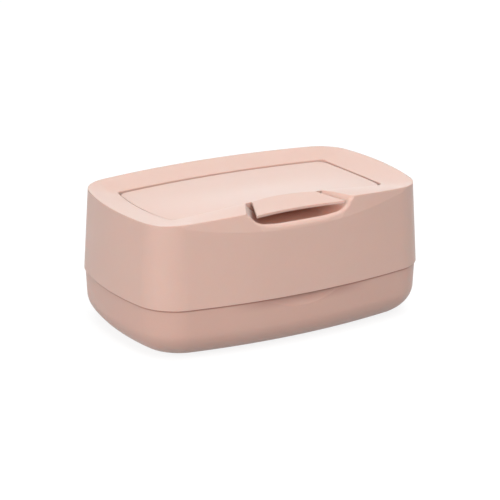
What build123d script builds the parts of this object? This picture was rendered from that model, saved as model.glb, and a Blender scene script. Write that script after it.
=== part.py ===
from build123d import *
import os
from math import atan2, cos, degrees, hypot, radians, sin, sqrt

# Baby wipes box: a bowl-bottomed tray, a tall drafted cover that lifts off it, and a flap lid
# that lies in a well in the cover's dished top. Millimetres, Z up, standing on Z = 0,
# the front with the thumb tab facing -Y.

# Overall plan, measured at the cover's lower edge
box_length = 240.0
box_depth = 155.3
side_radius = 469.0  # the long sides bow out on this radius
end_radius = 205.5  # and the short ends on this one
corner_radius = 32.5

# Heights above the table
parting_height = 40.3
rim_height = 100.8

# Cover shell
cover_wall = 2.2
cover_lean = 3.8  # the wall leans in this far from the parting line to the rim
roof_thickness = 2.4

# Top of the cover: dished from the rim to the well, swelling to a crown at the front
crown_rise = 3.9
dish_depth = 5.3
ring_width = 24.8
swell_back = 25.2
swell_front_inset = 7.8  # where the swell is full, behind the rim's front
swell_half_width = 116.0

# Lens-shaped facet under the front edge
facet_drop = 11.7
facet_lean = 0.20  # how far it leans back for each millimetre up
facet_radius = 486.0

# Well for the flap lid
well_half_length = 91.2
well_half_depth = 49.5
well_shift = 1.5
well_end_radius = 326.0
well_side_radius = 522.0
well_corner = 4.5
well_wall = 2.0
well_depth = 22.6
well_floor = 2.0

# Raised dispensing deck in the well
deck_half_length = 74.0
deck_half_depth = 33.0
deck_shift = -2.5
deck_corner = 22.0
deck_drop = 10.6  # deck top below the rim
deck_thickness = 2.0
mouth_half_length = 50.0
mouth_half_depth = 21.0

# Flap lid
lid_gap = 0.8
lid_corner = 8.0
lid_skin = 2.2
lid_skirt = 1.8
lid_skirt_drop = 12.0  # skirt's lower edge below the rim
lid_crown = 5.4
lid_dish = 5.85
lid_draft = 0.8  # the skirt leans in this much over its height

# Thumb tab
crease_inset = 6.7  # behind the well's front edge
tab_slope = 0.162
tab_dish_radius = 394.0
tab_thickness = 1.9
tab_root_half_width = 26.8
tab_tip_half_width = 36.4
tab_tip_inset = 2.9  # behind the rim's front, at the tip's corners
tab_middle_inset = 9.0
tab_lap = 1.5  # how far the tab runs in under the lid's skin
tab_trim = 3.5  # and how far its hollow top is cut back

# Finger scoop under the tab: its floor drops from the lip and climbs back into the well
scoop_front_half_width = 45.2
scoop_back_half_width = 33.9
scoop_side_slope = 0.607
scoop_side_inset = 3.6  # where the front half width is measured, behind the rim's front
scoop_mouth_out = 4.4
scoop_mouth_drop = 6.0
scoop_lip_inset = 0.6
scoop_lip_drop = 8.2
scoop_floor_drop = 12.6
scoop_middle_back = 4.0
scoop_middle_drop = 9.6
scoop_end_past = 3.0
scoop_end_drop = 4.2
scoop_corner = 14.0
scoop_wall = 2.2
scoop_lip_round = 2.2

# Flap hinge: one short pin at each end of the lid
hinge_y = 38.0
hinge_drop = 8.8
pin_radius = 1.5
pin_length = 9.6
pin_in_lid = 3.2
pin_running_gap = 0.06
pin_press_gap = 0.01
pin_end_gap = 0.4
pin_chamfer = 0.3
lid_boss_radius = 3.2
lid_boss_length = 2.6
cover_boss_radius = 4.0
pin_socket_floor = 1.6

# Soft seal under the flap, pushed onto a rib
rib_half_length = 67.0
rib_half_depth = 27.6
rib_corner = 16.0
rib_wall = 1.6
seal_width = 3.4
seal_height = 2.4
seal_grip = 1.2  # how deep the rib sits in the seal
seal_gap = 0.1
seal_ease = 0.05  # room between the rib and the seal's groove
seal_round = 0.6

# Soft dispensing grommet clipped in the deck
grommet_flange = 3.2
grommet_skin = 1.2
grommet_web = 1.6
grommet_round = 0.5
grommet_clearance = 0.05
slot_half_length = 34.0
slot_half_width = 5.0
slot_eye_radius = 13.0

# Base tray
tray_inset = 0.9
tray_wall = 2.6
tray_lean = 0.75  # lean of the short straight wall above the rounding
tray_round_out = 23.9
tray_round_up = 21.4
tray_corner_ease = 0.49
tray_edge = 0.5
tongue_gap = 0.5
tongue_wall = 1.6
tongue_height = 5.0
collar_drop = 7.5
collar_slope = 3.5

# Shallow finger relief in the tray's front, under the cover's edge
relief_depth = 1.6
relief_height = 12.0
relief_radius = 1250.0

# Ring gasket in the tongue
gasket_groove = 0.8
gasket_proud = 0.2
gasket_height = 1.6
gasket_up = 1.6

# Non-slip feet
foot_radius = 7.0
foot_proud = 0.6
foot_sunk = 1.0
foot_x = 72.0
foot_y = 34.0

# Weight plate that rides on the stack of wipes
plate_half_length = 88.0
plate_half_depth = 46.0
plate_corner = 18.0
plate_thickness = 2.4
plate_lip = 3.4
plate_lip_wall = 2.0
plate_mouth_half_length = 48.0
plate_mouth_half_depth = 20.0
plate_round = 0.8

# Room that cutting forms take beyond what they cut
above_top = 14.0
beyond_rim = 14.0
overcut = 1.0
reach = 40.0

# Derived heights
tray_bottom = foot_proud
facet_foot_z = rim_height - facet_drop
lid_skirt_z = rim_height - lid_skirt_drop
well_z = rim_height - well_depth
deck_z = rim_height - deck_drop
hinge_z = rim_height - hinge_drop
high = rim_height + above_top

# Places along Y that follow the rim's front and the well's front
rim_front = cover_lean - box_depth / 2
swell_front = rim_front + swell_front_inset
well_front = well_shift - well_half_depth
crease_front = well_front + crease_inset
tab_tip_front = rim_front + tab_tip_inset
tab_tip_middle = rim_front + tab_middle_inset
scoop_front = rim_front + scoop_side_inset
scoop_lip_at = rim_front + scoop_lip_inset
scoop_floor_at = (scoop_lip_at + well_front) / 2

# Where the hinge pins start and stop along X
hinge_wall_x = well_half_length - well_end_radius + sqrt(well_end_radius**2 - (hinge_y - well_shift) ** 2)
pin_inner_x = hinge_wall_x - lid_gap - pin_in_lid
pin_outer_x = pin_inner_x + pin_length
cover_boss_x = pin_outer_x + pin_socket_floor
lid_boss_x = hinge_wall_x - lid_gap - lid_skirt - lid_boss_length


def corner_places(half_length, half_depth, end, side, corner):
    """Centres of the bowed sides and of the corner arc that touches both."""
    side_centre = half_depth - side
    end_centre = half_length - end
    side_reach = side - corner
    end_reach = end - corner
    span = hypot(end_centre, side_centre)
    along = (side_reach**2 - end_reach**2 + span**2) / (2 * span)
    across = sqrt(side_reach**2 - along**2)
    corner_x = (end_centre * along - side_centre * across) / span
    corner_y = side_centre + (-side_centre * along - end_centre * across) / span
    return side_centre, end_centre, corner_x, corner_y


def bowed_plan(half_length, half_depth, end, side, corner, shift=0.0):
    """Closed outline of four bowed sides joined by tangent corner arcs."""
    side_centre, end_centre, corner_x, corner_y = corner_places(half_length, half_depth, end, side, corner)
    rise = degrees(atan2(corner_y - side_centre, corner_x))
    turn = degrees(atan2(corner_y, corner_x - end_centre))
    with BuildSketch() as plan:
        with BuildLine():
            CenterArc((0, side_centre + shift), side, rise, 180 - 2 * rise)
            CenterArc((-corner_x, corner_y + shift), corner, 180 - rise, rise - turn)
            CenterArc((-end_centre, shift), end, 180 - turn, 2 * turn)
            CenterArc((-corner_x, -corner_y + shift), corner, 180 + turn, rise - turn)
            CenterArc((0, -side_centre + shift), side, 180 + rise, 180 - 2 * rise)
            CenterArc((corner_x, -corner_y + shift), corner, -rise, rise - turn)
            CenterArc((end_centre, shift), end, -turn, 2 * turn)
            CenterArc((corner_x, corner_y + shift), corner, turn, rise - turn)
        make_face()
    return plan.sketch


def box_plan(inset, ease=1.0):
    """The box outline drawn in by an inset; ease below 1 keeps the corners rounder."""
    return bowed_plan(
        box_length / 2 - inset,
        box_depth / 2 - inset,
        end_radius - inset,
        side_radius - inset,
        corner_radius - ease * inset,
    )


def well_plan(inset, corner):
    """The well outline drawn in by an inset, or let out by a negative one."""
    return bowed_plan(
        well_half_length - inset,
        well_half_depth - inset,
        well_end_radius - inset,
        well_side_radius - inset,
        corner,
        well_shift,
    )


def cover_inset(z):
    """How far the cover's outer face has leaned in at a height."""
    return cover_lean * (z - parting_height) / (rim_height - parting_height)


def rim_distance(x, y):
    """Distance inside the rim's outline, measured square to it."""
    side = side_radius - cover_lean
    end = end_radius - cover_lean
    corner = corner_radius - cover_lean
    side_centre, end_centre, corner_x, corner_y = corner_places(
        box_length / 2 - cover_lean, box_depth / 2 - cover_lean, end, side, corner
    )
    px = abs(x) - corner_x
    py = abs(y) - corner_y
    turn = atan2(corner_y, corner_x - end_centre)
    rise = atan2(corner_y - side_centre, corner_x)
    if px > 0 and py > 0 and turn < atan2(py, px) < rise:
        return corner - hypot(px, py)
    from_side = side - hypot(x, abs(y) - side_centre)
    from_end = end - hypot(abs(x) - end_centre, y)
    return min(from_side, from_end)


def swell(x, y):
    """Weight of the front crown: 0 at the back, 1 at the middle of the front edge."""
    t = min(max((swell_back - y) / (swell_back - swell_front), 0.0), 1.0)
    across = max(1 - (x / swell_half_width) ** 2, 0.0) ** 1.5
    return t * t * (3 - 2 * t) * across


def ring_height(x, y):
    """Height of the cover's top between the rim and the well."""
    weight = swell(x, y)
    t = rim_distance(x, y) / ring_width
    if t > 1:
        past = min(t - 1, 0.6)
        t = 1 + past - past**2 / 1.2
    return rim_height + crown_rise * weight - dish_depth * t * (1 - weight)


def lid_height(x, y):
    """Height of the flap lid's top face."""
    weight = swell(x, y)
    return rim_height + lid_crown * weight - lid_dish * (1 - weight)


def space_above(height, drop=0.0):
    """Everything above a height function lowered by a drop."""
    half_x = box_length / 2 + beyond_rim
    half_y = box_depth / 2 + beyond_rim
    columns = 32
    rows = 22
    grid = []
    for i in range(columns + 1):
        x = half_x * (2 * i / columns - 1)
        line = []
        for j in range(rows + 1):
            y = half_y * (2 * j / rows - 1)
            line.append(Vector(x, y, height(x, y) - drop))
        grid.append(line)
    face = Face.make_surface_from_array_of_points(grid, tol=0.02)
    return extrude(face, amount=reach, dir=(0, 0, 1))


def facet_space(inset=0.0):
    """Space in front of the facet, a slanted cylinder whose foot lies on the wall."""
    foot_y = box_depth / 2 - cover_inset(facet_foot_z) - inset
    with BuildPart() as space:
        with BuildSketch(Plane.XY.offset(facet_foot_z)):
            with Locations((0, -box_depth / 2)):
                Rectangle(box_length + reach, 2 * reach)
            with Locations((0, facet_radius - foot_y)):
                Circle(facet_radius, mode=Mode.SUBTRACT)
        extrude(amount=reach, dir=(0, facet_lean, 1))
        extrude(space.faces().sort_by(Axis.Z)[0], amount=overcut, dir=(0, -facet_lean, -1))
    return space.part


def scoop_space(wall=0.0):
    """The finger scoop's hollow, or with a wall its shell's outer form."""
    spread = (scoop_front_half_width - scoop_back_half_width) / (well_front - scoop_front)
    stations = (
        (rim_front - scoop_mouth_out, scoop_mouth_drop),
        (scoop_lip_at, scoop_lip_drop),
        (scoop_floor_at, scoop_floor_drop),
        (well_front - scoop_middle_back, scoop_middle_drop),
        (well_front + scoop_end_past + wall, scoop_end_drop),
    )

    def half_width(y, z):
        at_rim = scoop_back_half_width + spread * (well_front - y)
        across_wall = wall * hypot(1, scoop_side_slope)
        return at_rim + scoop_side_slope * (z - rim_height - crown_rise) + across_wall

    with BuildPart() as space:
        for y, drop in stations:
            floor_z = rim_height - drop - wall
            with BuildSketch(Plane.XZ.offset(-y)) as section:
                with BuildLine():
                    Polyline(
                        (-half_width(y, high), high),
                        (-half_width(y, floor_z), floor_z),
                        (half_width(y, floor_z), floor_z),
                        (half_width(y, high), high),
                        close=True,
                    )
                make_face()
                fillet(section.vertices().group_by(Axis.Y)[0], scoop_corner + wall)
        loft()
    return space.part


def tray_form(skin):
    """The tray's outer form drawn in by a skin: a straight leaning wall over a deep rounding."""
    wall_inset = tray_inset + tray_lean
    turn_z = tray_bottom + tray_round_up
    with BuildPart() as form:
        for angle in (90, 74, 56, 38, 19, 0):
            inset = wall_inset + skin + (tray_round_out - skin) * (1 - cos(radians(angle)))
            z = turn_z - (tray_round_up - skin) * sin(radians(angle))
            with BuildSketch(Plane.XY.offset(z)):
                add(box_plan(inset, tray_corner_ease))
        loft()
    return form.part


def leaning_wall(low_z, low_inset, high_z, high_inset, ease=1.0):
    """A ruled block between two box outlines."""
    with BuildPart() as block:
        with BuildSketch(Plane.XY.offset(low_z)):
            add(box_plan(low_inset, ease))
        with BuildSketch(Plane.XY.offset(high_z)):
            add(box_plan(high_inset, ease))
        loft(ruled=True)
    return block.part


os.makedirs("parts", exist_ok=True)

# Base tray: bowl-bottomed shell with a tongue that guides the cover and a finger relief in front
turn_height = tray_bottom + tray_round_up
collar_z = parting_height - collar_drop
tongue_top = parting_height + tongue_height
tongue_out = cover_wall + tongue_gap
tongue_in = tongue_out + tongue_wall
tongue_lean = cover_inset(tongue_top)
tray_outer = tray_form(0.0)
tray_inner = tray_form(tray_wall)
edge_z = parting_height - tray_edge
tray_side = leaning_wall(turn_height, tray_inset + tray_lean, edge_z, tray_inset, tray_corner_ease)
tray_brow = leaning_wall(edge_z, tray_inset, parting_height, tray_inset + tray_edge, tray_corner_ease)
tongue_block = leaning_wall(parting_height, tongue_out, tongue_top, tongue_out + tongue_lean)
inner_low = leaning_wall(
    turn_height,
    tray_inset + tray_lean + tray_wall,
    collar_z,
    tray_inset + tray_wall + tray_lean * collar_drop / (parting_height - turn_height),
    tray_corner_ease,
)
inner_slope = leaning_wall(
    collar_z,
    tray_inset + tray_wall + tray_lean * collar_drop / (parting_height - turn_height),
    collar_z + collar_slope,
    tongue_in,
    tray_corner_ease,
)
inner_high = leaning_wall(
    collar_z + collar_slope, tongue_in, tongue_top, tongue_in + tongue_lean, tray_corner_ease
)
groove_z = parting_height + gasket_up
groove_low = cover_inset(groove_z)
groove_high = cover_inset(groove_z + gasket_height)
groove_outer = leaning_wall(
    groove_z,
    tongue_out + groove_low - overcut,
    groove_z + gasket_height,
    tongue_out + groove_high - overcut,
)
groove_inner = leaning_wall(
    groove_z,
    tongue_out + groove_low + gasket_groove,
    groove_z + gasket_height,
    tongue_out + groove_high + gasket_groove,
)
foot_spots = {
    "foot_front_left": (-foot_x, -foot_y),
    "foot_front_right": (foot_x, -foot_y),
    "foot_rear_left": (-foot_x, foot_y),
    "foot_rear_right": (foot_x, foot_y),
}
with BuildPart() as groove_ring:
    add(groove_outer)
    add(groove_inner, mode=Mode.SUBTRACT)
with BuildPart() as base_tray:
    add(tray_outer)
    add(tray_side)
    add(tray_brow)
    add(tongue_block)
    add(tray_inner, mode=Mode.SUBTRACT)
    add(inner_low, mode=Mode.SUBTRACT)
    add(inner_slope, mode=Mode.SUBTRACT)
    add(inner_high, mode=Mode.SUBTRACT)
    add(groove_ring.part, mode=Mode.SUBTRACT)
    with BuildSketch(Plane.XY.offset(tray_bottom)):
        with Locations(*foot_spots.values()):
            Circle(foot_radius)
    extrude(amount=foot_sunk, mode=Mode.SUBTRACT)
    with BuildSketch(Plane.XY.offset(parting_height)):
        with Locations((0, tray_inset + relief_depth - box_depth / 2 - relief_radius)):
            Circle(relief_radius)
    extrude(amount=2 * relief_height, dir=(0, -relief_depth / relief_height, -1), mode=Mode.SUBTRACT)
base_tray.part.label = "base_tray"
export_step(base_tray.part, "parts/base_tray.step")

# Ring gasket that seals the cover to the tray
gasket_outer = leaning_wall(
    groove_z,
    tongue_out + groove_low - gasket_proud,
    groove_z + gasket_height,
    tongue_out + groove_high - gasket_proud,
)
with BuildPart() as cover_gasket:
    add(gasket_outer)
    add(groove_inner, mode=Mode.SUBTRACT)
cover_gasket.part.label = "cover_gasket"
export_step(cover_gasket.part, "parts/cover_gasket.step")

# Non-slip feet, each a dome-edged pad pressed into its recess
for name, (x, y) in foot_spots.items():
    with BuildPart() as foot:
        with BuildSketch(Plane.XY):
            with Locations((x, y)):
                Circle(foot_radius)
        extrude(amount=foot_proud + foot_sunk)
        fillet(foot.edges().sort_by(Axis.Z)[0], foot_proud * 0.8)
    foot.part.label = name
    export_step(foot.part, f"parts/{name}.step")

# Weight plate: a dished plate with a long mouth, lipped round both edges
plate_z = tray_bottom + tray_wall
with BuildPart() as weight_plate:
    with BuildSketch(Plane.XY.offset(plate_z)):
        RectangleRounded(2 * plate_half_length, 2 * plate_half_depth, plate_corner)
    extrude(amount=plate_thickness + plate_lip)
    with BuildSketch(Plane.XY.offset(plate_z + plate_thickness)):
        RectangleRounded(
            2 * (plate_half_length - plate_lip_wall),
            2 * (plate_half_depth - plate_lip_wall),
            plate_corner - plate_lip_wall,
        )
        SlotOverall(
            2 * (plate_mouth_half_length + plate_lip_wall),
            2 * (plate_mouth_half_depth + plate_lip_wall),
            mode=Mode.SUBTRACT,
        )
    extrude(amount=plate_lip, mode=Mode.SUBTRACT)
    with BuildSketch(Plane.XY.offset(plate_z)):
        SlotOverall(2 * plate_mouth_half_length, 2 * plate_mouth_half_depth)
    extrude(amount=plate_thickness + plate_lip, mode=Mode.SUBTRACT)
    fillet(weight_plate.faces().sort_by(Axis.Z)[-1].edges(), plate_round)
    fillet(weight_plate.faces().sort_by(Axis.Z)[0].edges(), plate_round)
weight_plate.part.label = "weight_plate"
export_step(weight_plate.part, "parts/weight_plate.step")

# Upper cover, outside: drafted wall, dished and crowned top, facet, finger scoop with a rounded lip
above_ring = space_above(ring_height)
below_roof = space_above(ring_height, roof_thickness)
facet_outer = facet_space()
facet_inner = facet_space(cover_wall)
scoop_hollow = scoop_space()
scoop_shell = scoop_space(scoop_wall)
wall_outer = leaning_wall(parting_height, 0.0, high, cover_inset(high))
wall_inner = leaning_wall(
    parting_height - overcut,
    cover_wall + cover_inset(parting_height - overcut),
    high,
    cover_wall + cover_inset(high),
)
with BuildPart() as cover_form:
    add(wall_outer)
    add(above_ring, mode=Mode.SUBTRACT)
    add(facet_outer, mode=Mode.SUBTRACT)
    add(scoop_hollow, mode=Mode.SUBTRACT)
    facet_face = cover_form.faces().filter_by(GeomType.EXTRUSION)[0]
    lip_edges = facet_face.edges().filter_by(
        lambda e: abs(e.center().X) < scoop_front_half_width and e.center().Z > facet_foot_z + overcut
    )
    fillet(lip_edges, scoop_lip_round)

# The well pan under the flap, with its raised deck and the two hinge bosses
well_outline_z = well_z - well_floor
with BuildPart() as well_pan:
    with BuildSketch(Plane.XY.offset(well_outline_z)):
        add(well_plan(-well_wall, well_corner + well_wall))
    extrude(amount=high - well_outline_z)
    for side in (-1, 1):
        with BuildSketch(Plane.YZ.offset(side * lid_boss_x)):
            with Locations((hinge_y, hinge_z)):
                Circle(cover_boss_radius)
        extrude(amount=side * (cover_boss_x - lid_boss_x))
    with BuildSketch(Plane.XY.offset(well_outline_z)):
        with Locations((0, deck_shift)):
            RectangleRounded(
                2 * (deck_half_length - well_wall),
                2 * (deck_half_depth - well_wall),
                deck_corner - well_wall,
            )
    extrude(amount=deck_z - deck_thickness - well_outline_z, mode=Mode.SUBTRACT)
with BuildPart() as well_hollow:
    with BuildSketch(Plane.XY.offset(well_z)):
        add(well_plan(0.0, well_corner))
    extrude(amount=high - well_z)
    with BuildSketch(Plane.XY.offset(well_z)):
        with Locations((0, deck_shift)):
            RectangleRounded(2 * deck_half_length, 2 * deck_half_depth, deck_corner)
    extrude(amount=deck_z - well_z, mode=Mode.SUBTRACT)
with BuildPart() as cover_hollow:
    add(wall_inner)
    add(below_roof, mode=Mode.SUBTRACT)
    add(facet_inner, mode=Mode.SUBTRACT)
    add(scoop_shell, mode=Mode.SUBTRACT)
    add(well_pan.part, mode=Mode.SUBTRACT)
with BuildPart() as upper_cover:
    add(cover_form.part)
    add(cover_hollow.part, mode=Mode.SUBTRACT)
    add(well_hollow.part, mode=Mode.SUBTRACT)
    with BuildSketch(Plane.XY.offset(deck_z)):
        with Locations((0, deck_shift)):
            SlotOverall(2 * mouth_half_length, 2 * mouth_half_depth)
    extrude(amount=-2 * deck_thickness, mode=Mode.SUBTRACT)
    for side in (-1, 1):
        with BuildSketch(Plane.YZ.offset(side * lid_boss_x)):
            with Locations((hinge_y, hinge_z)):
                Circle(pin_radius + pin_press_gap)
        extrude(amount=side * (pin_outer_x - lid_boss_x), mode=Mode.SUBTRACT)
upper_cover.part.label = "upper_cover"
export_step(upper_cover.part, "parts/upper_cover.step")


# Flap lid: skin and skirt, ribbed for its seal, bored for the hinge pins, with the dished thumb tab
above_lid = space_above(lid_height)
below_skin = space_above(lid_height, lid_skin)
rib_z = deck_z + seal_gap + seal_height - seal_grip


def tab_block(back_y):
    """The tab's outline, widening from its root to a hollow front edge, stood up through the lid."""
    with BuildPart() as block:
        with BuildSketch(Plane.XY.offset(lid_skirt_z)):
            with BuildLine():
                right = Polyline(
                    (tab_root_half_width, back_y),
                    (tab_root_half_width, well_front),
                    (tab_tip_half_width, tab_tip_front),
                )
                ThreePointArc(right @ 1, (0, tab_tip_middle), (-tab_tip_half_width, tab_tip_front))
                Polyline(
                    (-tab_tip_half_width, tab_tip_front),
                    (-tab_root_half_width, well_front),
                    (-tab_root_half_width, back_y),
                    right @ 0,
                )
            make_face()
        extrude(amount=high - lid_skirt_z)
    return block.part


def tab_space(drop):
    """Space above the tab's hollow top, a shallow trough sloping down to the front."""
    start_y = crease_front + tab_trim + overcut
    start_z = lid_height(0, crease_front) - drop + (start_y - crease_front) * tab_slope
    wide = tab_tip_half_width + lid_skirt_drop
    edge_z = start_z + tab_dish_radius - sqrt(tab_dish_radius**2 - wide**2)
    with BuildPart() as space:
        with BuildSketch(Plane.XZ.offset(-start_y)):
            with BuildLine():
                trough = ThreePointArc((-wide, edge_z), (0, start_z), (wide, edge_z))
                Polyline(trough @ 1, (wide, high), (-wide, high), trough @ 0)
            make_face()
        extrude(amount=reach, dir=(0, -1, -tab_slope))
    return space.part


tab_above = tab_space(0.0)
tab_below = tab_space(tab_thickness)
lid_blank_plan = well_plan(lid_gap, lid_corner)
lid_lean = lid_draft * (high - lid_skirt_z) / lid_skirt_drop
with BuildPart() as lid_hollow:
    with BuildSketch(Plane.XY.offset(lid_skirt_z)):
        add(well_plan(lid_gap + lid_skirt, lid_corner - lid_skirt))
    with BuildSketch(Plane.XY.offset(high)):
        add(well_plan(lid_gap + lid_skirt + lid_lean, lid_corner - lid_skirt))
    loft(ruled=True)
    add(below_skin, mode=Mode.SUBTRACT)
    with BuildSketch(Plane.XY.offset(rib_z)):
        with Locations((0, deck_shift)):
            RectangleRounded(2 * rib_half_length, 2 * rib_half_depth, rib_corner)
            RectangleRounded(
                2 * (rib_half_length - rib_wall),
                2 * (rib_half_depth - rib_wall),
                rib_corner - rib_wall,
                mode=Mode.SUBTRACT,
            )
    extrude(amount=high - rib_z, mode=Mode.SUBTRACT)
    for side in (-1, 1):
        with BuildSketch(Plane.YZ.offset(side * lid_boss_x)):
            with Locations((hinge_y, hinge_z)):
                Circle(lid_boss_radius)
        extrude(amount=side * (well_half_length - lid_boss_x), mode=Mode.SUBTRACT)
with BuildPart() as thumb_tab:
    add(tab_block(crease_front + tab_lap))
    add(tab_below, mode=Mode.INTERSECT)
    add(tab_above, mode=Mode.SUBTRACT)
    add(above_lid, mode=Mode.SUBTRACT)
with BuildPart() as tab_waste:
    add(tab_block(crease_front + tab_trim))
    add(tab_above, mode=Mode.INTERSECT)
with BuildPart() as flap_lid:
    with BuildSketch(Plane.XY.offset(lid_skirt_z)):
        add(lid_blank_plan)
    with BuildSketch(Plane.XY.offset(high)):
        add(well_plan(lid_gap + lid_lean, lid_corner))
    loft(ruled=True)
    add(above_lid, mode=Mode.SUBTRACT)
    add(tab_waste.part, mode=Mode.SUBTRACT)
    add(lid_hollow.part, mode=Mode.SUBTRACT)
    add(thumb_tab.part)
    for side in (-1, 1):
        with BuildSketch(Plane.YZ.offset(side * (pin_inner_x - pin_end_gap))):
            with Locations((hinge_y, hinge_z)):
                Circle(pin_radius + pin_running_gap)
        extrude(amount=side * (well_half_length - pin_inner_x), mode=Mode.SUBTRACT)
flap_lid.part.label = "flap_lid"
export_step(flap_lid.part, "parts/flap_lid.step")

# Hinge pins, pressed into the cover and running in the lid
for name, side in (("hinge_pin_left", -1), ("hinge_pin_right", 1)):
    with BuildPart() as hinge_pin:
        with BuildSketch(Plane.YZ.offset(side * pin_inner_x)):
            with Locations((hinge_y, hinge_z)):
                Circle(pin_radius)
        extrude(amount=side * pin_length)
        chamfer(hinge_pin.edges().filter_by(GeomType.CIRCLE), pin_chamfer)
    hinge_pin.part.label = name
    export_step(hinge_pin.part, f"parts/{name}.step")

# Soft seal under the flap, grooved to push onto the rib
seal_z = deck_z + seal_gap
seal_lap = (seal_width - rib_wall) / 2
with BuildPart() as flap_seal:
    with BuildSketch(Plane.XY.offset(seal_z)):
        with Locations((0, deck_shift)):
            RectangleRounded(
                2 * (rib_half_length + seal_lap),
                2 * (rib_half_depth + seal_lap),
                rib_corner + seal_lap,
            )
            RectangleRounded(
                2 * (rib_half_length + seal_lap - seal_width),
                2 * (rib_half_depth + seal_lap - seal_width),
                rib_corner + seal_lap - seal_width,
                mode=Mode.SUBTRACT,
            )
    extrude(amount=seal_height)
    fillet(flap_seal.faces().sort_by(Axis.Z)[0].edges(), seal_round)
    with BuildSketch(Plane.XY.offset(rib_z)):
        with Locations((0, deck_shift)):
            RectangleRounded(
                2 * (rib_half_length + seal_ease),
                2 * (rib_half_depth + seal_ease),
                rib_corner + seal_ease,
            )
            RectangleRounded(
                2 * (rib_half_length - rib_wall - seal_ease),
                2 * (rib_half_depth - rib_wall - seal_ease),
                rib_corner - rib_wall - seal_ease,
                mode=Mode.SUBTRACT,
            )
    extrude(amount=seal_height, mode=Mode.SUBTRACT)
flap_seal.part.label = "flap_seal"
export_step(flap_seal.part, "parts/flap_seal.step")

# Soft dispensing grommet: flanges above and below the deck, and a skin with a slot and a round eye
grommet_top = deck_z + grommet_clearance + grommet_skin
grommet_bottom = deck_z - deck_thickness - grommet_clearance - grommet_skin
web_half_length = mouth_half_length - grommet_clearance
web_half_depth = mouth_half_depth - grommet_clearance
skin_top = deck_z - (deck_thickness - grommet_skin) / 2
with BuildPart() as dispensing_grommet:
    with BuildSketch(Plane.XY.offset(grommet_bottom)):
        with Locations((0, deck_shift)):
            SlotOverall(
                2 * (mouth_half_length + grommet_flange), 2 * (mouth_half_depth + grommet_flange)
            )
    extrude(amount=grommet_top - grommet_bottom)
    fillet(dispensing_grommet.faces().sort_by(Axis.Z)[-1].edges(), grommet_round)
    with BuildSketch(Plane.XY.offset(deck_z + grommet_clearance)):
        with Locations((0, deck_shift)):
            SlotOverall(
                2 * (mouth_half_length + 2 * grommet_flange),
                2 * (mouth_half_depth + 2 * grommet_flange),
            )
            SlotOverall(2 * web_half_length, 2 * web_half_depth, mode=Mode.SUBTRACT)
    extrude(amount=-deck_thickness - 2 * grommet_clearance, mode=Mode.SUBTRACT)
    with BuildSketch(Plane.XY.offset(skin_top)):
        with Locations((0, deck_shift)):
            SlotOverall(
                2 * (web_half_length - grommet_web), 2 * (web_half_depth - grommet_web)
            )
    extrude(amount=grommet_top - skin_top, mode=Mode.SUBTRACT)
    with BuildSketch(Plane.XY.offset(grommet_bottom)):
        with Locations((0, deck_shift)):
            SlotOverall(
                2 * (web_half_length - grommet_web), 2 * (web_half_depth - grommet_web)
            )
    extrude(amount=skin_top - grommet_skin - grommet_bottom, mode=Mode.SUBTRACT)
    with BuildSketch(Plane.XY.offset(grommet_bottom)):
        with Locations((0, deck_shift)):
            SlotOverall(2 * slot_half_length, 2 * slot_half_width)
            Circle(slot_eye_radius)
    extrude(amount=grommet_top - grommet_bottom, mode=Mode.SUBTRACT)
dispensing_grommet.part.label = "dispensing_grommet"
export_step(dispensing_grommet.part, "parts/dispensing_grommet.step")
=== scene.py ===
import math
import bpy
from mathutils import Matrix, Vector
from mathutils.kdtree import KDTree


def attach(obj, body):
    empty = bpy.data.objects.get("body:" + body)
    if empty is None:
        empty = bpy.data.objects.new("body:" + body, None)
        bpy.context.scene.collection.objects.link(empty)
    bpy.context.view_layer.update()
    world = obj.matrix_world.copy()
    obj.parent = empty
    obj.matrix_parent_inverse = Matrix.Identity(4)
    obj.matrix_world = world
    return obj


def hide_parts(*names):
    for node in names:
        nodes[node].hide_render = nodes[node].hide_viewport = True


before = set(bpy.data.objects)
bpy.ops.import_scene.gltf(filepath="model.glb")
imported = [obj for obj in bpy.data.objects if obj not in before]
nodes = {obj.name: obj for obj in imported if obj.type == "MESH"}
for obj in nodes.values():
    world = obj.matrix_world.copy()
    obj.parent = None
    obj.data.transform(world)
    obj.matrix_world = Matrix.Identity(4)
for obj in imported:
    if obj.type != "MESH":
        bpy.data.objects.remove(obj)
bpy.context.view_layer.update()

# a baby wipes box, dressed over its CAD frame; metres, front with the thumb tab facing -Y
print("frame loaded", len(nodes), "nodes")


class Wire:  # a socket that can be added, multiplied and so on like a number
    def __init__(self, tree, socket):
        self.tree = tree
        self.socket = socket

    def join(self, operation, other, flipped=False):
        sides = (other, self) if flipped else (self, other)
        return self.tree.node("ShaderNodeMath", {"operation": operation}, {0: sides[0], 1: sides[1]})

    def __add__(self, other):
        return self.join("ADD", other)

    def __radd__(self, other):
        return self.join("ADD", other, True)

    def __sub__(self, other):
        return self.join("SUBTRACT", other)

    def __rsub__(self, other):
        return self.join("SUBTRACT", other, True)

    def __mul__(self, other):
        return self.join("MULTIPLY", other)

    def __rmul__(self, other):
        return self.join("MULTIPLY", other, True)


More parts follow.
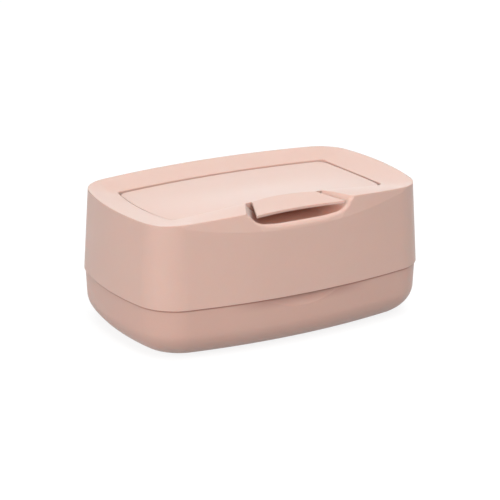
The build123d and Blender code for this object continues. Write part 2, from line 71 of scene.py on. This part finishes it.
class Shader:  # the node tree of a material or a world, and the nodes put in it
    def __init__(self, holder):
        self.holder = holder
        holder.use_nodes = True
        self.nodes = holder.node_tree.nodes
        self.links = holder.node_tree.links
        self.nodes.clear()

    def node(self, kind, settings=None, values=None, out=0):
        made = self.nodes.new(kind)
        for key, value in (settings or {}).items():
            if key == "stops":
                ramp = made.color_ramp
                ramp.elements[0].position, ramp.elements[0].color = value[0]
                ramp.elements[1].position, ramp.elements[1].color = value[-1]
            else:
                setattr(made, key, value)
        for key, value in (values or {}).items():
            if isinstance(value, Wire):
                self.links.new(value.socket, made.inputs[key])
            else:
                made.inputs[key].default_value = value
        return Wire(self, made.outputs[out]) if len(made.outputs) else made

    def noise(self, place, kind):  # kind is its scale, detail and roughness
        scale, detail, roughness = kind
        values = {"Vector": place, "Scale": scale, "Detail": detail, "Roughness": roughness}
        return self.node("ShaderNodeTexNoise", {}, values)

    def shades(self, tone, colour, spread):  # a little darker to a little lighter than the colour
        dark = tuple(c * (1 - spread) for c in colour) + (1.0,)
        light = tuple(min(1.0, c * (1 + spread)) for c in colour) + (1.0,)
        return self.node("ShaderNodeValToRGB", {"stops": [(0.3, dark), (0.7, light)]}, {0: tone})

    def bump(self, height, strength, distance, normal=None):
        values = {"Strength": strength, "Distance": distance, "Height": height}
        if normal:
            values["Normal"] = normal
        return self.node("ShaderNodeBump", {}, values)

    def axis(self, place, name):
        return self.node("ShaderNodeSeparateXYZ", {}, {"Vector": place}, name)

    def ramp(self, value, ends):
        values = {"Value": value, "From Min": ends[0], "From Max": ends[1]}
        return self.node("ShaderNodeMapRange", {"interpolation_type": "SMOOTHSTEP"}, values)

    def rays(self):
        names = ("Is Camera Ray", "Is Transmission Ray", "Is Glossy Ray")
        return [self.node("ShaderNodeLightPath", out=name) for name in names]

    def finish(self, surface, last="ShaderNodeOutputMaterial"):
        self.node(last, {}, {"Surface": surface})
        return self.holder


moulding = {
    "cloud": (14.0, 3.0, 0.55),
    "speck": (900.0, 2.0, 0.6),
    "grain": (1700.0, 2.0, 0.65),
    "cloudShare": 0.7,
    "grainRough": 0.10,
    "cloudRough": 0.06,
    "edgeSamples": 6,
    "bump": 0.35,
    "ior": 1.49,
    "dustRough": 0.4,
    "scatter": (1.0, 0.32, 0.2),
    "scatterDepth": 0.003,
}


def mouldedPlastic(name, look):
    # matt injection-moulded plastic: faint cloudy tone, fine spark-eroded grain, softened edges
    shader = Shader(bpy.data.materials.new(name))
    place = shader.node("ShaderNodeTexCoord", out=3)
    cloud = shader.noise(place, moulding["cloud"])
    speck = shader.noise(place, moulding["speck"])
    grain = shader.noise(place, moulding["grain"])
    tone = moulding["cloudShare"] * cloud + (1 - moulding["cloudShare"]) * speck
    colour = shader.shades(tone, look["colour"], look["toneSpread"])
    rough = look["roughness"] + moulding["grainRough"] * (grain - 0.5) + moulding["cloudRough"] * (cloud - 0.5)
    edge = shader.node("ShaderNodeBevel", {"samples": moulding["edgeSamples"]}, {"Radius": look["edge"]})
    if "crispFoot" in look:  # the lower edge stays crisp, so that the parting line is thin
        plain = shader.node("ShaderNodeNewGeometry", out="Normal")
        above = shader.ramp(shader.axis(place, "Z"), look["crispFoot"])
        edge = shader.node("ShaderNodeMix", {"data_type": "VECTOR"}, {0: above, 4: plain, 5: edge}, 1)
    for tint, spans in look["paintedShades"]:  # painted shade: the colour is darkened inside each box of spans, in recesses and under edges where shade falls
        shadeMask = 1.0
        for name, ends in spans:
            shadeMask = shader.ramp(shader.axis(place, name), ends) * shadeMask
        colour = shader.node("ShaderNodeMix", {"data_type": "RGBA"}, {0: shadeMask, 6: colour, 7: tint + (1.0,)}, 2)
    bump = shader.bump(grain, moulding["bump"], look["grainDepth"], edge)
    surface = shader.node(
        "ShaderNodeBsdfPrincipled",
        {},
        {
            "Base Color": colour,
            "Roughness": rough,
            "IOR": moulding["ior"],
            "Specular IOR Level": look["specular"],
            "Sheen Weight": look["dust"],
            "Sheen Roughness": moulding["dustRough"],
            "Subsurface Weight": look["depth"],
            "Subsurface Radius": moulding["scatter"],
            "Subsurface Scale": moulding["scatterDepth"],
            "Normal": bump,
        },
    )
    return shader.finish(surface)


rubber = {
    "dust": (60.0, 4.0, 0.6),
    "fine": (1100.0, 2.0, 0.5),
    "toneSpread": 0.06,
    "dustRough": 0.12,
    "bump": 0.25,
    "bumpDepth": 0.00003,
    "ior": 1.42,
    "sheen": 0.15,
}


def softRubber(name, look):
    # silicone and elastomer: satin, a little dusty, with no sharp grain
    shader = Shader(bpy.data.materials.new(name))
    place = shader.node("ShaderNodeTexCoord", out=3)
    dust = shader.noise(place, rubber["dust"])
    fine = shader.noise(place, rubber["fine"])
    colour = shader.shades(dust, look["colour"], rubber["toneSpread"])
    rough = look["roughness"] + rubber["dustRough"] * (dust - 0.5)
    bump = shader.bump(fine, rubber["bump"], rubber["bumpDepth"])
    surface = shader.node(
        "ShaderNodeBsdfPrincipled",
        {},
        {
            "Base Color": colour,
            "Roughness": rough,
            "IOR": rubber["ior"],
            "Sheen Weight": rubber["sheen"],
            "Normal": bump,
        },
    )
    return shader.finish(surface)


drawing = {
    "stretch": (40.0, 4000.0, 4000.0),
    "lines": (1.0, 2.0, 0.5),
    "lineRough": 0.2,
    "bump": 0.3,
    "depth": 0.00001,
}


def drawnSteel(name, look):
    # drawn wire: fine lines along X
    shader = Shader(bpy.data.materials.new(name))
    place = shader.node("ShaderNodeTexCoord", out=3)
    along = shader.node("ShaderNodeMapping", {}, {"Vector": place, "Scale": drawing["stretch"]})
    lines = shader.noise(along, drawing["lines"])
    rough = look["roughness"] + drawing["lineRough"] * (lines - 0.5)
    bump = shader.bump(lines, drawing["bump"], drawing["depth"])
    surface = shader.node(
        "ShaderNodeBsdfPrincipled",
        {},
        {"Base Color": look["colour"] + (1.0,), "Metallic": 1.0, "Roughness": rough, "Normal": bump},
    )
    return shader.finish(surface)


finishLooks = {
    "cover": {
        "colour": (0.575, 0.373, 0.313),
        "toneSpread": 0.025,
        "roughness": 0.52,
        "specular": 0.5,
        "edge": 0.0012,
        "grainDepth": 0.00004,
        "depth": 0.35,
        "dust": 0.35,
        "crispFoot": (0.0415, 0.0445),
        # painted shade: the scoop's floor and walls under the tab are coloured darker and redder
        "paintedShades": [
            (
                (0.53, 0.26, 0.195),
                [
                    ("Y", (-0.0712, -0.0695)),
                    ("Y", (-0.047, -0.050)),
                    ("X", (-0.049, -0.045)),
                    ("X", (0.049, 0.045)),
                    ("Z", (0.0985, 0.0945)),
                ],
            )
        ],
    },
    "rubber": {"colour": (0.62, 0.42, 0.35), "roughness": 0.6},
    "foot": {"colour": (0.40, 0.26, 0.22), "roughness": 0.75},
    "steel": {"colour": (0.60, 0.59, 0.57), "roughness": 0.32},
}
coverFinish = mouldedPlastic("pinkMattPlastic", finishLooks["cover"])
trayLook = {  # what differs from the cover: crisper edges, painted shade in the relief in front and painted shade along the line under the cover
    "colour": (0.565, 0.350, 0.290),
    "edge": 0.0004,
    "paintedShades": [
        # painted shade: the shallow relief below the cover's front edge is coloured darker
        (
            (0.44, 0.25, 0.205),
            [
                ("Y", (-0.060, -0.066)),
                ("X", (-0.064, -0.028)),
                ("X", (0.064, 0.028)),
                ("Z", (0.0305, 0.0395)),
                ("Z", (0.0414, 0.0408)),
            ],
        ),
        # painted shadow: a dark band on the tray's brow, under the cover's lower edge
        ((0.34, 0.14, 0.105), [("Z", (0.0384, 0.0400)), ("Z", (0.0414, 0.0408))]),
    ],
}
plainLook = {key: value for key, value in finishLooks["cover"].items() if key != "crispFoot"}
trayFinish = mouldedPlastic("pinkMattTray", {**plainLook, **trayLook})
flapFinish = mouldedPlastic("pinkMattFlap", {**plainLook, "edge": 0.0006, "paintedShades": []})
rubberFinish = softRubber("softPinkSilicone", finishLooks["rubber"])
footFinish = softRubber("mattFootRubber", finishLooks["foot"])
steelFinish = drawnSteel("drawnPinSteel", finishLooks["steel"])
finishes = {
    "base_tray": trayFinish,
    "upper_cover": coverFinish,
    "flap_lid": flapFinish,
    "weight_plate": flapFinish,
    "cover_gasket": rubberFinish,
    "flap_seal": rubberFinish,
    "dispensing_grommet": rubberFinish,
    "foot_front_left": footFinish,
    "foot_front_right": footFinish,
    "foot_rear_left": footFinish,
    "foot_rear_right": footFinish,
    "hinge_pin_left": steelFinish,
    "hinge_pin_right": steelFinish,
}
for name, finish in finishes.items():
    mesh = nodes[name].data
    mesh.materials.clear()
    mesh.materials.append(finish)
print("finishes on", len(finishes), "nodes")


# the front of the cover and the flap, fitted to the photograph on copies of their CAD meshes; millimetres
front = {
    "sideCentre": 391.35,
    "sideRadius": 469.0,
    "cornerX": 83.48,
    "cornerY": 37.09,
    "cornerRadius": 32.5,
    "cornerTurn": 0.1912,
    "parting": 40.3,
    "rim": 100.8,
    "lean": 3.8,
    "crown": 3.9,
    "ringWidth": 24.8,
    "swellBack": 25.2,
    "swellFront": -66.05,
    "swellWidth": 116.0,
    "halfDepth": 77.65,
    "facetLean": 0.20,
    "oldFacet": (89.1, 486.0),
    "newFacet": (88.85, 549.0),
    "skinDepth": 6.0,
    "rimMargin": 0.05,
    "facetLeast": 0.1,
    "creaseSteps": 24,
    "halfLength": 120,
}
lip = {
    "edgeLift": 0.9,
    "crestLift": 2.2,
    "crestBack": 3.0,
    "floorBack": 12.0,
    "cornerLift": 2.0,
    "cornerStart": 15.0,
    "cornerRun": 22.0,
    "cornerBack": 6.0,
    "width": 47.0,
    "fadeLow": 96.5,
    "fadeHigh": 103.0,
    "lowest": 84.0,
    "furthestBack": 16.0,
    "outside": 1.0,
    "edgeGap": 0.35,
    "edgeFade": 0.5,
}
flush = {
    "ringLift": 1.3,
    "lidSink": 0.7,
    "tabLift": 0.8,
    "tabBack": -41.3,
    "tabLength": 29.7,
    "tabRoot": 26.8,
    "tabRootRun": 6.0,
    "wellFront": -48.5,
    "coverFrom": (92.0, 5.0),
    "flapFrom": (93.0, 4.0),
}


def smooth(t):
    t = min(max(t, 0.0), 1.0)
    return t * t * (3 - 2 * t)


def outlineY(x, inset):
    radius = front["sideRadius"] - inset
    corner = front["cornerRadius"] - inset
    if abs(x) < front["cornerX"] + front["cornerTurn"] * corner:
        return front["sideCentre"] - math.sqrt(radius**2 - x * x)
    return -front["cornerY"] - math.sqrt(max(corner**2 - (abs(x) - front["cornerX"]) ** 2, 0.0))


def coverInset(z):
    return front["lean"] * (z - front["parting"]) / (front["rim"] - front["parting"])


def wallY(x, z):
    return outlineY(x, coverInset(z))


def facetY(x, z, facet):
    foot, radius = facet
    bow = radius - math.sqrt(radius**2 - x * x)
    return coverInset(foot) - front["halfDepth"] + bow + front["facetLean"] * (z - foot)


def swell(x, y):
    t = smooth((front["swellBack"] - y) / (front["swellBack"] - front["swellFront"]))
    return t * max(1 - (x / front["swellWidth"]) ** 2, 0.0) ** 1.5


def rimTop(x):
    return front["rim"] + front["crown"] * swell(x, wallY(x, front["rim"]))


def creaseHeight(x, facet):
    low, high = facet[0] - 1.0, rimTop(x)
    for _ in range(front["creaseSteps"]):
        middle = (low + high) / 2
        if facetY(x, middle, facet) > wallY(x, middle):
            high = middle
        else:
            low = middle
    return high


creases = {}  # the old crease, the new one and the rim, at each millimetre from the middle
for x in range(front["halfLength"] + 1):
    creases[x] = (creaseHeight(x, front["oldFacet"]), creaseHeight(x, front["newFacet"]), rimTop(x))


def creaseAt(x):
    below = min(int(abs(x)), front["halfLength"] - 1)
    share = min(abs(x) - below, 1.0)
    return [a + share * (b - a) for a, b in zip(creases[below], creases[below + 1])]


def fitFacet(x, y, z):
    # moves the facet's lower crease to its new arc and the skin with it
    old, new, top = creaseAt(x)
    skin = max(wallY(x, z), facetY(x, z, front["oldFacet"]))
    share = 1 - smooth((y - skin) / front["skinDepth"])
    if y > 0 or share == 0 or old > top - front["facetLeast"] or z > top + front["rimMargin"]:
        return y, z
    new = min(new, top - front["rimMargin"])
    if z > old:
        fitted = new + (z - old) * (top - new) / (top - old)
    else:
        foot = front["parting"]
        fitted = foot + (z - foot) * (new - foot) / (old - foot)
    moved = max(wallY(x, fitted), facetY(x, fitted, front["newFacet"]))
    return y + share * (moved - skin), z + share * (fitted - z)


def liftLip(x, y, z):
    # raises and rounds the scoop's lip, and rounds its lower corners
    back = y - facetY(x, z, front["oldFacet"])
    if abs(x) > lip["width"] or z < lip["lowest"] or back > lip["furthestBack"]:
        return 0.0
    if back < lip["crestBack"]:
        climb = 2 * smooth(0.5 + 0.5 * back / lip["crestBack"]) - 1
        lift = lip["edgeLift"] + (lip["crestLift"] - lip["edgeLift"]) * climb
    else:
        fall = (back - lip["crestBack"]) / (lip["floorBack"] - lip["crestBack"])
        lift = lip["crestLift"] * (1 - smooth(fall))
    corner = lip["cornerLift"] * smooth((abs(x) - lip["cornerStart"]) / lip["cornerRun"])
    corner = corner * (1 - smooth(back / lip["cornerBack"]))
    above = 1 - smooth((z - lip["fadeLow"]) / (lip["fadeHigh"] - lip["fadeLow"]))
    if back < lip["outside"]:
        above = above * smooth((z - creaseAt(x)[0] - lip["edgeGap"]) / lip["edgeFade"])
    return (max(lift, 0.0) + corner) * above


def fitCover(point):
    x, y, z = point
    lift = liftLip(x, y, z)
    y, z = fitFacet(x, y, z)
    past = min(max((y - wallY(x, front["rim"])) / front["ringWidth"], 0.0), 1.0)
    foot, run = flush["coverFrom"]
    ring = flush["ringLift"] * swell(x, y) * past * smooth((z - foot) / run)
    return Vector((x, y + front["facetLean"] * lift, z + lift + ring))


def fitFlap(point):
    x, y, z = point
    sink = flush["lidSink"] * swell(x, y)
    out = min(max((flush["tabBack"] - y) / flush["tabLength"], 0.0), 1.0)
    if y > flush["wellFront"]:
        out = out * (1 - smooth((abs(x) - flush["tabRoot"]) / flush["tabRootRun"]))
    rise = flush["tabLift"] * out - sink * (1 - out)
    foot, run = flush["flapFrom"]
    return Vector((x, y, z + rise * smooth((z - foot) / run)))


fitting = {"merge": 0.000002, "inset": 0.05, "step": 0.01}


def insetCorners(mesh):
    # each corner of each triangle, drawn in a little so that it lies on one face alone
    corners = {}
    for polygon in mesh.polygons:
        places = [mesh.vertices[v].co * 1000 for v in polygon.vertices]
        middle = sum(places, Vector()) / len(places)
        for loop, place in zip(polygon.loop_indices, places):
            corners[loop] = place + fitting["inset"] * (middle - place)
    return corners


def fittedCopy(node, field):
    # a copy of a CAD mesh, merged, its points moved by a field and its normals turned with them
    piece = bpy.data.objects.new(node + "Fitted", nodes[node].data.copy())
    bpy.context.scene.collection.objects.link(piece)
    bpy.ops.object.select_all(action="DESELECT")
    piece.select_set(True)
    bpy.context.view_layer.objects.active = piece
    bpy.ops.object.mode_set(mode="EDIT")
    bpy.ops.mesh.select_all(action="SELECT")
    bpy.ops.mesh.remove_doubles(threshold=fitting["merge"])
    bpy.ops.object.mode_set(mode="OBJECT")
    mesh = piece.data
    source = nodes[node].data
    sourceCorners = insetCorners(source)
    tree = KDTree(len(sourceCorners))
    for loop, place in sourceCorners.items():
        tree.insert(place, loop)
    tree.balance()
    normals = {}
    for loop, place in insetCorners(mesh).items():
        normal = Vector(source.corner_normals[tree.find(place)[1]].vector)
        aside = normal.orthogonal().normalized()
        start = field(place)
        first = field(place + fitting["step"] * aside) - start
        second = field(place + fitting["step"] * normal.cross(aside)) - start
        turned = first.cross(second)
        normals[loop] = turned.normalized() if turned.length > 0 else normal
    for vertex in mesh.vertices:
        vertex.co = field(vertex.co * 1000) / 1000
    mesh.update()
    mesh.normals_split_custom_set([normals[loop] for loop in range(len(mesh.loops))])
    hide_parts(node)
    return piece


coverPiece = fittedCopy("upper_cover", fitCover)
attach(coverPiece, "cover")
flapPiece = fittedCopy("flap_lid", fitFlap)
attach(flapPiece, "flap")
print("front of the cover and flap fitted")


studio = {
    "floorSize": 3.2,
    "paper": 0.30,
    "paperGlow": 0.14,
    "paperSeen": 0.92,
    "world": 0.12,
    "worldSeen": 0.55,
    "floorSeen": 0.4,
    "floorWhite": 1.06,
    "floorWhiteShare": 0.8,
    "lookAt": (0.0, 0.0, 0.05),
}
softboxes = {
    "topSoftbox": {"place": (0.0, -0.2, 2.3), "size": 2.6, "power": 53.0, "tint": (0.94, 1.0, 1.0)},
    "keySoftbox": {"place": (-0.05, -1.9, 1.5), "size": 1.6, "power": 32.0, "tint": (1.0, 1.0, 1.0)},
    "leftSoftbox": {"place": (-2.3, -0.6, 0.9), "size": 1.6, "power": 40.0, "tint": (1.0, 1.0, 1.0)},
    "glossSoftbox": {"place": (1.15, 2.0, 0.85), "size": 1.6, "power": 11.0, "tint": (0.94, 1.0, 1.0)},
}
bpy.ops.object.select_all(action="DESELECT")
bpy.ops.mesh.primitive_plane_add(size=studio["floorSize"], location=(0, 0, 0))
floor = bpy.context.object
floor.name = "studioFloor"
paper = Shader(bpy.data.materials.new("paperFloor"))
cameraRay, clearRay, glossyRay = paper.rays()
seen = cameraRay + clearRay + studio["floorSeen"] * glossyRay
matt = paper.node("ShaderNodeBsdfDiffuse", {}, {"Color": (studio["paper"],) * 3 + (1.0,)})
bounce = paper.node("ShaderNodeEmission", {}, {"Color": (1, 1, 1, 1), "Strength": studio["paperGlow"]})
sheet = paper.node("ShaderNodeAddShader", {}, {0: matt, 1: bounce})
lit = paper.node("ShaderNodeBsdfDiffuse", {}, {"Color": (studio["paperSeen"],) * 3 + (1.0,)})
glow = paper.node("ShaderNodeEmission", {}, {"Color": (1, 1, 1, 1), "Strength": studio["floorWhite"]})
backdrop = paper.node("ShaderNodeMixShader", {}, {0: studio["floorWhiteShare"], 1: lit, 2: glow})
paperMix = paper.node("ShaderNodeMixShader", {}, {0: seen, 1: sheet, 2: backdrop})
floor.data.materials.append(paper.finish(paperMix))

sky = Shader(bpy.data.worlds.new("studioWorld"))
cameraRay, clearRay, glossyRay = sky.rays()
dim = sky.node("ShaderNodeBackground", {}, {"Color": (1, 1, 1, 1), "Strength": studio["world"]})
soft = sky.node("ShaderNodeBackground", {}, {"Color": (1, 1, 1, 1), "Strength": studio["worldSeen"]})
white = sky.node("ShaderNodeBackground", {}, {"Color": (1, 1, 1, 1), "Strength": 1.0})
indoors = sky.node("ShaderNodeMixShader", {}, {0: glossyRay, 1: dim, 2: soft})
room = sky.node("ShaderNodeMixShader", {}, {0: cameraRay + clearRay, 1: indoors, 2: white})
bpy.context.scene.world = sky.finish(room, "ShaderNodeOutputWorld")

for name, look in softboxes.items():
    lamp = bpy.data.lights.new(name, "AREA")
    lamp.shape = "SQUARE"
    lamp.size = look["size"]
    lamp.energy = look["power"]
    lamp.color = look["tint"]
    holder = bpy.data.objects.new(name, lamp)
    bpy.context.scene.collection.objects.link(holder)
    holder.location = look["place"]
    holder.rotation_mode = "QUATERNION"
    holder.rotation_quaternion = (Vector(look["place"]) - Vector(studio["lookAt"])).to_track_quat("Z", "Y")

viewpoint = {  # as the photograph was taken: angles in degrees, the rest in metres, the lens in millimetres
    "azimuth": 30.099,
    "elevation": 18.797,
    "roll": 0.23,
    "distance": 1.5264,
    "target": (0.0, 0.0, 0.050),
    "lens": 147.88,
    "shift": (-0.0021, -0.0010),
    "sensor": 36.0,
    "clip": (0.05, 50.0),
}
turn = math.radians(viewpoint["azimuth"])
tilt = math.radians(viewpoint["elevation"])
roll = math.radians(viewpoint["roll"])
ahead = Vector((math.sin(turn) * math.cos(tilt), math.cos(turn) * math.cos(tilt), -math.sin(tilt)))
across = Vector((math.cos(turn), -math.sin(turn), 0.0))
upward = across.cross(ahead)
rolledAcross = math.cos(roll) * across + math.sin(roll) * upward
rolledUp = -math.sin(roll) * across + math.cos(roll) * upward
cameraData = bpy.data.cameras.new("photoCamera")
cameraData.lens = viewpoint["lens"]
cameraData.sensor_width = viewpoint["sensor"]
cameraData.shift_x, cameraData.shift_y = viewpoint["shift"]
cameraData.clip_start, cameraData.clip_end = viewpoint["clip"]
camera = bpy.data.objects.new("photoCamera", cameraData)
bpy.context.scene.collection.objects.link(camera)
standpoint = Vector(viewpoint["target"]) - ahead * viewpoint["distance"]
facing = Matrix((rolledAcross, rolledUp, -ahead)).transposed().to_4x4()
camera.matrix_world = Matrix.Translation(standpoint) @ facing
bpy.context.scene.camera = camera
bpy.context.scene.view_settings.view_transform = "Standard"
print("studio and camera ready")
